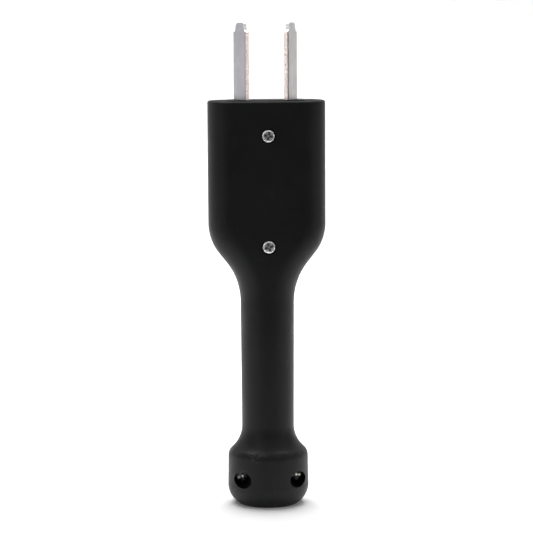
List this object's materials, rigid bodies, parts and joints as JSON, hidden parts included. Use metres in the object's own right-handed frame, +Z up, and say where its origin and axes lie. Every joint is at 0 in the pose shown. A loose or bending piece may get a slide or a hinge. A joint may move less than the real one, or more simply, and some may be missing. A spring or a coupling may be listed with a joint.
{
  "type": "two-blade electrode holder",
  "caption": "Upright hand-held holder: a wide flat black case on a slim grip with a round collar, and paired plated contact blades standing out of its head.",
  "frame": {"origin": "centre of the collar's foot, on the surface it stands on", "axes": "+Z up the grip to the blades, +Y from the front with the screw heads to the back, +X to the right seen from the front"},
  "size_m": [0.0632, 0.0438, 0.261],
  "materials": {
    "case": "satin moulded black",
    "insulator": "matt moulded phenolic black",
    "blade": "nickel-plated copper strip with bare copper edges",
    "brass": "turned brass",
    "steel": "zinc plated steel",
    "steel_clamp": "pressed zinc plated steel",
    "zinc": "bright zinc plated, lightly worn cross",
    "zinc_dull": "zinc plated, dulled and dusty at the bottom of its hole",
    "rubber": "matt black rubber"
  },
  "bodies": {
    "holder": {"front_shell": "case", "rear_shell": "case", "blade_block": "insulator", "terminal_barrier": "insulator", "left_blade": "blade", "right_blade": "blade", "left_terminal": "brass", "right_terminal": "brass", "left_blade_bolt": "steel", "right_blade_bolt": "steel", "left_lock_washer": "steel", "right_lock_washer": "steel", "left_core_screws": "steel", "right_core_screws": "steel", "cable_bush": "rubber", "cable_clamp": "steel_clamp", "clamp_screws": "steel", "clamp_inserts": "brass", "upper_insert": "brass", "lower_insert": "brass", "left_collar_insert": "brass", "right_collar_insert": "brass"},
    "upper_case_screw": {"upper_case_screw": "zinc"},
    "lower_case_screw": {"lower_case_screw": "zinc"},
    "left_collar_screw": {"left_collar_screw": "zinc_dull"},
    "right_collar_screw": {"right_collar_screw": "zinc_dull"}
  },
  "joints": [
    {"name": "upper_case_screw_turn", "type": "hinge", "parent": "holder", "child": "upper_case_screw", "pos_m": [0, -0.01285, 0.201], "axis": [0, 1, 0], "continuous": true},
    {"name": "lower_case_screw_turn", "type": "hinge", "parent": "holder", "child": "lower_case_screw", "pos_m": [0, -0.01285, 0.1415], "axis": [0, 1, 0], "continuous": true},
    {"name": "left_collar_screw_turn", "type": "hinge", "parent": "holder", "child": "left_collar_screw", "pos_m": [-0.015, -0.00285, 0.0152], "axis": [0, 1, 0], "continuous": true},
    {"name": "right_collar_screw_turn", "type": "hinge", "parent": "holder", "child": "right_collar_screw", "pos_m": [0.015, -0.00285, 0.0152], "axis": [0, 1, 0], "continuous": true}
  ]
}
